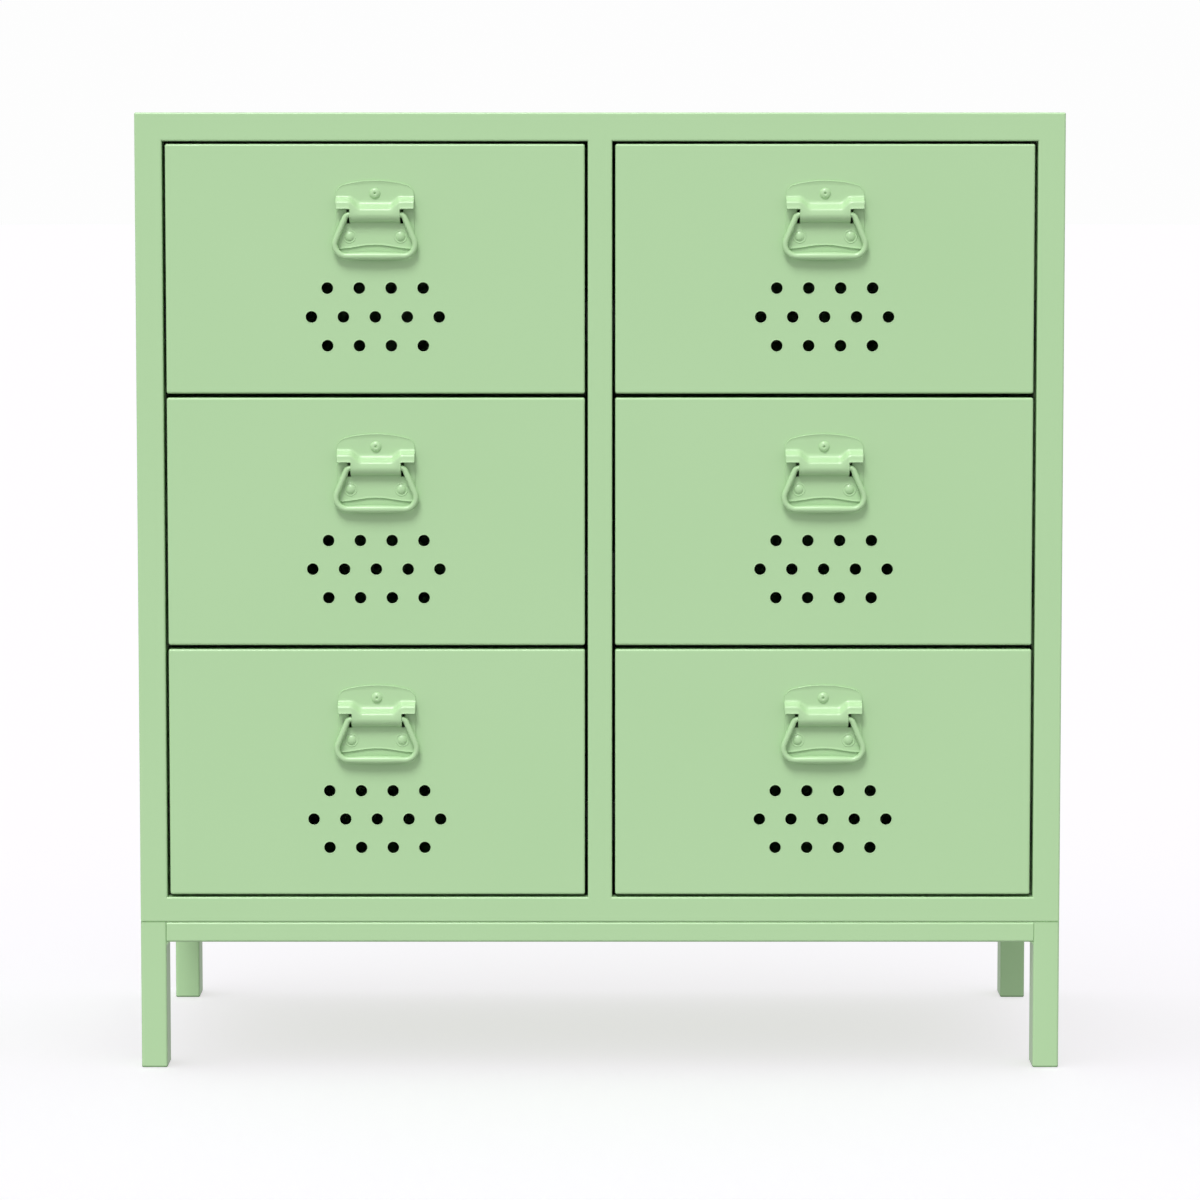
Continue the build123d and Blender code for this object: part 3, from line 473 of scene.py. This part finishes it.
RIVET_RADIUS = 4.7 * MM
UPPER_RIVET_RISE = 18.2 * MM
LOWER_RIVET_DROP = 18.8 * MM
LOWER_RIVET_OUT = 22 * MM
rivet_top = lathe("rivet_master", [
    (0, 0.7 * MM), (0.55 * MM, 0.75 * MM), (0.85 * MM, 1.5 * MM), (1.2 * MM, 1.95 * MM), (2.0 * MM, 1.92 * MM),
    (3.0 * MM, 1.66 * MM), (3.9 * MM, 1.15 * MM), (4.5 * MM, 0.6 * MM), (RIVET_RADIUS, 0.3 * MM),
    (RIVET_RADIUS, 0)], 32)
rivet_low = lathe("seated_rivet_master", [
    (0, 1.62 * MM), (1.0 * MM, 1.58 * MM), (2.2 * MM, 1.35 * MM), (3.3 * MM, 0.9 * MM), (4.0 * MM, 0.35 * MM),
    (4.4 * MM, 0.1 * MM), (4.8 * MM, 0.18 * MM), (5.2 * MM, 0.4 * MM), (5.7 * MM, 0.3 * MM), (6.0 * MM, 0)], 32)
vent_lip = lathe("vent_lip_master", [
    (5.0 * MM, -0.3 * MM), (5.0 * MM, -0.05 * MM), (5.12 * MM, 0.09 * MM), (5.35 * MM, 0.14 * MM),
    (5.7 * MM, 0.09 * MM), (6.1 * MM, 0)], 40)
VENT_PITCH = 27.5 * MM
VENT_ROW = 24.8 * MM
VENT_HEIGHT = 66 * MM
OUTWARD = (0.0, -1.0, 0.0)
for tag in tags:
    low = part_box("drawer_front_" + tag)[0]
    hinge = hinges["bail_" + tag]
    head_y = front_y - PLATE_SHEET
    top_seat = [(hinge.x, head_y, hinge.z + UPPER_RIVET_RISE)]
    low_seats = [(hinge.x + side * LOWER_RIVET_OUT, head_y, hinge.z - LOWER_RIVET_DROP) for side in (-1, 1)]
    vents = [
        (hinge.x + (column - (count - 1) / 2) * VENT_PITCH, front_y, low.z + VENT_HEIGHT + row * VENT_ROW)
        for row, count in ((-1, 4), (0, 5), (1, 4)) for column in range(count)
    ]
    for name, points, fastener, stands_for in (
        ("rivet_upper_" + tag, top_seat, rivet_top, ["handle_rivets_" + tag]),
        ("rivets_lower_" + tag, low_seats, rivet_low, []),
        ("vent_lips_" + tag, vents, vent_lip, []),
    ):
        piece = fasten(name, points, fastener, OUTWARD, mint_coat)
        dress(piece, "drawer_" + tag, mint_coat, "green_powder_coat", *stands_for)
for master in (rivet_top, rivet_low, vent_lip):
    bpy.data.objects.remove(master)

# Back screws: zinc-plated pan-head screws with a pressed cross recess, driven from behind through the back panel
# into the flanges of the carcass and the partition, and left at any turn.
SCREW_HEAD = 3.5 * MM
SCREW_SHANK = 1.7 * MM
SCREWS_UP = (-0.36, 0, 0.36)
SCREWS_ACROSS = (-0.15, -0.42, 0.15, 0.42)
REARWARD = (0.0, 1.0, 0.0)


def cross(arm, half, height):
    """The outline of a cross recess that opens to the rear."""
    quarter = [(arm, half), (half, half), (half, arm)]
    outline = []
    for cos, sin in ((1, 0), (0, 1), (-1, 0), (0, -1)):
        outline += [Vector((x * cos - z * sin, height, x * sin + z * cos)) for x, z in quarter]
    return outline


screw = lathe("screw_master", [
    (0, 8 * MM), (SCREW_SHANK, 6 * MM), (SCREW_SHANK, 0), (SCREW_HEAD, 0), (SCREW_HEAD, -0.3 * MM),
    (3.25 * MM, -0.95 * MM), (2.75 * MM, -1.5 * MM), (2.2 * MM, -1.8 * MM)], 24)
shape = bmesh.new()
shape.from_mesh(screw.data)
rim = [edge for edge in shape.edges if edge.is_boundary]
mouth = [shape.verts.new(p) for p in cross(1.8 * MM, 0.45 * MM, 1.95 * MM)]
pit = [shape.verts.new(p) for p in cross(1.1 * MM, 0.3 * MM, 0.7 * MM)]
lip = [shape.edges.new((mouth[i - 1], mouth[i])) for i in range(len(mouth))]
bmesh.ops.bridge_loops(shape, edges=rim + lip)
for i in range(len(mouth)):
    shape.faces.new((mouth[i - 1], mouth[i], pit[i], pit[i - 1]))
shape.faces.new(pit)
bmesh.ops.recalc_face_normals(shape, faces=shape.faces)
shape.to_mesh(screw.data)
shape.free()
screws_low, screws_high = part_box("back_screws")
panel_low, panel_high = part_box("left_side_panel")
carcass_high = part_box("top_panel")[1]
side_x = screws_high.x - SCREW_HEAD
ends_z = (screws_low.z + SCREW_HEAD, screws_high.z - SCREW_HEAD)
middle_z = (panel_low.z + carcass_high.z) / 2
sides_z = [middle_z + part * (carcass_high.z - panel_low.z) for part in SCREWS_UP]
points = [(2 * carcass_high.x * part, panel_high.y, z) for part in SCREWS_ACROSS for z in ends_z]
points += [(side * side_x, panel_high.y, z) for side in (-1, 1) for z in sides_z]
points += [(0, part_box("back_panel")[1].y, z) for z in sides_z]
screws = fasten("screws_back", points, screw, REARWARD, zinc_plate, seed=3)
screws.data.set_sharp_from_angle(angle=math.radians(40))
dress(screws, "cabinet", zinc_plate, "zinc_fastener", "back_screws")
bpy.data.objects.remove(screw)

# The studio: a seamless white floor and backdrop, and an even white surround that fills the shadows.
# The floor glows a little, so that it stays near white while the shadow of the locker still shows on it.
floor_white, tree = new_material("white studio floor")
matt = add(tree, "ShaderNodeBsdfDiffuse", {"Color": (0.708, 0.815, 0.757, 1.0)})
glow = add(tree, "ShaderNodeEmission", {"Color": (0.969, 0.817, 0.953, 1.0), "Strength": 0.58})
both = add(tree, "ShaderNodeAddShader", {0: matt.outputs["BSDF"], 1: glow.outputs["Emission"]})
add(tree, "ShaderNodeOutputMaterial", {"Surface": both.outputs["Shader"]})
bpy.ops.mesh.primitive_plane_add(size=80, location=(0, 0, 0))
floor = bpy.context.object
floor.name = "studio_floor"
floor.data.materials.append(floor_white)
floor.visible_diffuse = False
floor.visible_glossy = False

backdrop_white, tree = new_material("white studio backdrop")
glow = add(tree, "ShaderNodeEmission", {"Color": (1.0, 1.0, 1.0, 1.0), "Strength": 0.985})
add(tree, "ShaderNodeOutputMaterial", {"Surface": glow.outputs["Emission"]})
bpy.ops.mesh.primitive_uv_sphere_add(segments=32, ring_count=16, radius=38, location=(0, 0, 0))
backdrop = bpy.context.object
backdrop.name = "studio_backdrop"
backdrop.data.materials.append(backdrop_white)
backdrop.visible_diffuse = False
backdrop.visible_glossy = False
backdrop.visible_transmission = False
backdrop.visible_shadow = False

world = bpy.data.worlds.new("white surround")
world.use_nodes = True
world.node_tree.nodes.clear()
sky = add(world.node_tree, "ShaderNodeTexCoord").outputs["Generated"]
lean = add(world.node_tree, "ShaderNodeVectorMath", {0: sky, 1: (-0.06, 0.0, 0.12)}, operation="DOT_PRODUCT")
level = add(world.node_tree, "ShaderNodeMath", {0: lean.outputs["Value"], 1: 0.55}, operation="ADD")
surround = add(world.node_tree, "ShaderNodeBackground", {
    "Color": (1.0, 1.0, 1.0, 1.0), "Strength": level.outputs["Value"]})
add(world.node_tree, "ShaderNodeOutputWorld", {"Surface": surround.outputs["Background"]})
bpy.context.scene.world = world

# A soft key light from the upper left and a weak low one: degrees to the left, degrees up, spread and strength.
# The floor is left out of both, because its light is its own glow and the surround.
unlit = bpy.data.collections.new("not lit by the softboxes")
unlit.objects.link(floor)
for name, turn, lift, spread, energy in (
    ("key_softbox", 18, 56, 24, 2.38), ("low_softbox", 14, 10, 40, 0.13),
):
    glow = bpy.data.lights.new(name, "SUN")
    glow.angle = math.radians(spread)
    glow.energy = energy
    box = bpy.data.objects.new(name, glow)
    box.rotation_euler = (math.radians(90 - lift), 0, math.radians(-turn))
    box.light_linking.receiver_collection = unlit
    bpy.context.scene.collection.objects.link(box)
unlit.collection_objects[0].light_linking.link_state = "EXCLUDE"

# The camera stands in front of the middle at the height of the top and is tilted down a little.
# A long lens gives the flat perspective of a product picture.
camera_data = bpy.data.cameras.new("photo_camera")
camera_data.lens = 153.89
camera_data.sensor_width = 36
camera_data.clip_end = 200
camera = bpy.data.objects.new("photo_camera", camera_data)
camera.location = (0, -4.6185, 0.8197)
camera.rotation_euler = (math.radians(84.704), 0, 0)
bpy.context.scene.collection.objects.link(camera)
bpy.context.scene.camera = camera
bpy.context.scene.view_settings.view_transform = "Standard"
